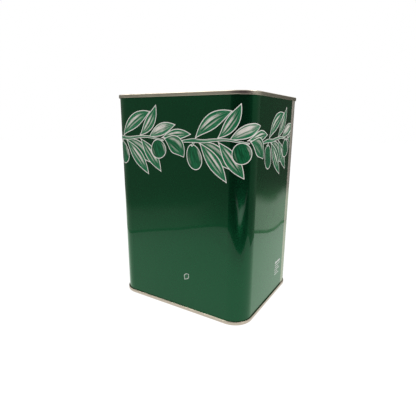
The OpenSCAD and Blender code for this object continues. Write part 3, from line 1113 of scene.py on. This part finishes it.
@dataclass(frozen=True)
class Surround:
    """Painted studio wall on the table's edge, which only reflections see.

    Angles are degrees round the tin from +X, and distances and heights are metres. The wall is dark
    in front of the tin's corner, where a strip of lamps shows in an arc, and pale low on its sides,
    with a painted shadow in a thin dark band along its foot.
    """

    height: float = 0.30
    edge: tuple[Point, ...] = (
        (-181, 0.272), (-135, 0.276), (-119, 0.288), (-107, 0.319), (-90, 0.305), (-57, 0.263),
        (-37, 0.249), (-22, 0.271), (-5, 0.314), (2, 0.300), (14, 0.240), (39, 0.245), (47, 0.252),
        (53, 0.251), (56, 0.263), (58, 0.277), (61, 0.308), (66, 0.322), (90, 0.290), (181, 0.272))
    uneven: float = 0.03
    uneven_scale: float = 16.0
    front: tuple[Span, Span] = ((-104.0, -97.0), (-9.0, -4.0))
    east: Span = (-60.0, 0.0)
    east_high: tuple[Colour, Colour] = ((0.25, 0.27, 0.25), (0.08, 0.09, 0.08))
    east_low: tuple[Colour, Colour] = ((0.56, 0.58, 0.55), (0.70, 0.72, 0.68))
    low_to: Span = (0.030, 0.052)
    low_climb: float = 0.018
    climb_from: Span = (-30.0, 0.0)
    beside: tuple[Span, Span] = ((-117.0, -106.0), (-60.0, -30.0))
    beside_share: float = 0.9
    right: tuple[Span, Span] = ((-40.0, -8.0), (38.0, 46.0))
    right_tone: Colour = (0.24, 0.26, 0.24)
    arc_at: Point = (-42.0, 0.052)
    arc_half: float = 27.0
    arc_bend: float = 0.032
    arc_wide: Span = (0.0045, 0.0085)
    arc_fades: tuple[Span, Span] = ((0.1, 1.15), (0.4, 1.0))
    arc_tones: tuple[Colour, Colour] = ((0.030, 0.018, 0.028), (2.2, 2.1, 2.2))
    # painted shadow: a thin dark band along the wall's foot, its height in metres
    line: Span = (0.003, 0.008)
    foot_shadow_tone: Colour = (0.10, 0.11, 0.10)
    foot_shadow_weight: Span = (0.75, 0.25)

    def reach(self, angle: float) -> float:
        """Distance of the table's edge from the tin's middle, by the angle round it."""
        for (a, near), (b, far) in zip(self.edge, self.edge[1:]):
            if angle <= b:
                return near + (far - near) * (angle - a) / (b - a)
        return self.edge[-1][1]

    def sides(self, graph: Graph, angle: NodeSocket, east: NodeSocket, height: NodeSocket) -> NodeSocket:
        """Colour of the wall beside and behind the tin, with painted shade on its low band next to the dark
        front.
        """
        away = graph.minus(1.0, graph.window(angle, *self.right))
        rise = graph.times(graph.ramp(angle, *self.climb_from), self.low_climb)
        low = graph.fall(graph.minus(height, rise), *self.low_to)
        # painted shade: darkens the low band next to the dark front
        shade = graph.times(graph.window(angle, *self.beside), self.beside_share)
        low = graph.times(low, graph.minus(1.0, shade), away)
        tone = graph.mix(low, graph.mix(east, *self.east_high), graph.mix(east, *self.east_low))
        return graph.mix(away, self.right_tone, tone)

    def arc(self, graph: Graph, angle: NodeSocket, height: NodeSocket) -> NodeSocket:
        """Colour of the dark front with its arc of lamps."""
        bent = graph.math("DIVIDE", graph.minus(angle, self.arc_at[0]), self.arc_half)
        middle = graph.plus(self.arc_at[1], graph.times(bent, bent, self.arc_bend))
        strong = graph.near(bent, 0.0, *self.arc_fades[0])
        wide = graph.plus(self.arc_wide[0], graph.times(strong, self.arc_wide[1]))
        off = graph.math("DIVIDE", graph.math("ABSOLUTE", graph.minus(height, middle)), wide)
        strip = graph.fall(off, *self.arc_fades[1])
        return graph.mix(graph.times(strip, strong), *self.arc_tones)

    def material(self) -> Material:
        """Build the wall's glowing material."""
        material, graph = blank_material("studio_wall")
        place = graph.add("TexCoord").outputs["Object"]
        x, y, z = graph.add("SeparateXYZ", Vector=place).outputs[:3]
        angle = graph.times(graph.math("ARCTAN2", y, x), 180 / math.pi)
        wobble = graph.minus(graph.noise(place, self.uneven_scale, detail=2.0), 0.5)
        height = graph.plus(z, graph.times(wobble, self.uneven))
        east = graph.ramp(angle, *self.east)
        wall = graph.mix(graph.window(angle, *self.front), self.sides(graph, angle, east, height),
                         self.arc(graph, angle, height))
        # painted shadow along the wall's foot, wider and darker towards the east
        weight = graph.plus(self.foot_shadow_weight[0], graph.times(east, self.foot_shadow_weight[1]))
        line = graph.times(graph.fall(graph.math("DIVIDE", z, weight), *self.line), weight)
        glow = graph.add("Emission", Color=graph.mix(line, wall, self.foot_shadow_tone), Strength=1.0)
        graph.add("OutputMaterial", Surface=glow)
        return material

    def build(self) -> None:
        """Add the wall."""
        obj = add_mesh(bpy.ops.mesh.primitive_cylinder_add, vertices=360, radius=1.0, depth=self.height,
                       end_fill_type="NOTHING", location=(0, 0, self.height / 2))
        bpy.ops.object.transform_apply(location=True)
        obj.name = "studio_wall"
        for vertex in obj.data.vertices:
            reach = self.reach(math.degrees(math.atan2(vertex.co.y, vertex.co.x)))
            vertex.co.x *= reach
            vertex.co.y *= reach
        bpy.ops.object.shade_smooth()
        dress(obj, self.material())
        obj.visible_camera = False
        obj.visible_diffuse = False
        obj.visible_shadow = False


@dataclass(frozen=True)
class Lamp:
    """A soft round lamp that looks at the tin, in metres and watts."""

    name: str
    place: Triple
    size: float
    power: float
    target: Triple = (0.0, 0.0, 0.1)

    def build(self) -> None:
        """Add the lamp."""
        data = bpy.data.lights.new(self.name, "AREA")
        data.shape = "DISK"
        data.size = self.size
        data.energy = self.power
        lamp = add_object(self.name, data)
        way = Vector(self.target) - Vector(self.place)
        lamp.rotation_euler = way.to_track_quat("-Z", "Y").to_euler()
        lamp.location = self.place


@dataclass(frozen=True)
class Camera:
    """The photograph's camera, by its place in metres, its turns in degrees and its lens in pixels."""

    eye: Triple = (0.1798, -0.2981, 0.1777)
    heading: float = 31.18
    pitch: float = 14.57
    roll: float = 0.55
    focal_px: float = 337.5
    frame_px: float = 416.0
    sensor: float = 36.0
    clip: float = 0.01

    def build(self) -> None:
        """Place the camera."""
        data = bpy.data.cameras.new("camera")
        data.sensor_width = self.sensor
        data.lens = self.sensor * self.focal_px / self.frame_px
        data.clip_start = self.clip
        place = Matrix.Translation(self.eye)
        for turn, axis in ((self.heading, "Z"), (90 - self.pitch, "X"), (self.roll, "Z")):
            place @= Matrix.Rotation(math.radians(turn), 4, axis)
        bpy.context.scene.camera = add_object("camera", data)
        bpy.context.scene.camera.matrix_world = place


@dataclass
class Studio:
    """Pale floor, dark surround seen only in reflections, soft lamps, white world and the camera."""

    camera: Camera = Camera()
    surround: Surround = Surround()
    lamps: tuple[Lamp, ...] = (Lamp("key", (-0.6, -0.6, 1.1), 0.8, 8.0),
                               Lamp("fill", (1.0, 0.2, 0.9), 0.9, 10.0))
    floor_radius: float = 3.0
    floor_tone: Colour = (0.80, 0.80, 0.79)
    floor_glow: Span = (1.1, 0.88)
    floor_share: float = 0.86
    world_light: Span = (0.7, 1.0)

    def floor(self) -> None:
        """Add the pale floor, white where it is seen, which keeps a soft shadow."""
        obj = add_mesh(bpy.ops.mesh.primitive_circle_add, vertices=96, radius=self.floor_radius,
                       fill_type="NGON")
        obj.name = "floor"
        material, graph = blank_material("floor")
        diffuse = graph.add("BsdfDiffuse", Color=(*self.floor_tone, 1.0))
        level = graph.span(graph.add("LightPath").outputs["Is Glossy Ray"], *self.floor_glow)
        glow = graph.add("Emission", Color=(1.0, 1.0, 1.0, 1.0), Strength=level)
        share = graph.times(seen(graph), self.floor_share)
        graph.add("OutputMaterial", Surface=graph.add("MixShader", Fac=share, i1=diffuse, i2=glow))
        dress(obj, material)

    def world(self) -> None:
        """Plain white world, as bright as white only where it is seen."""
        world = bpy.data.worlds.new("world")
        bpy.context.scene.world = world
        world.use_nodes = True
        graph = empty(world.node_tree)
        level = graph.span(seen(graph), *self.world_light)
        light = graph.add("Background", Color=(1.0, 1.0, 1.0, 1.0), Strength=level)
        graph.add("OutputWorld", Surface=light)

    def build(self) -> None:
        """Build the whole studio."""
        self.camera.build()
        self.floor()
        self.surround.build()
        for lamp in self.lamps:
            lamp.build()
        self.world()
        bpy.context.scene.view_settings.view_transform = "Standard"


def main() -> None:
    """Load the frame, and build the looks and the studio."""
    logging.basicConfig(level=logging.INFO, format="%(name)s: %(message)s")
    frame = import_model()
    dress_nodes(frame["nodes"])
    Spout().build()
    Grip().build()
    wall = Wall()
    Garland(wall).build()
    SmallPrint(wall).build()
    Studio().build()


if __name__ == "__main__":
    main()
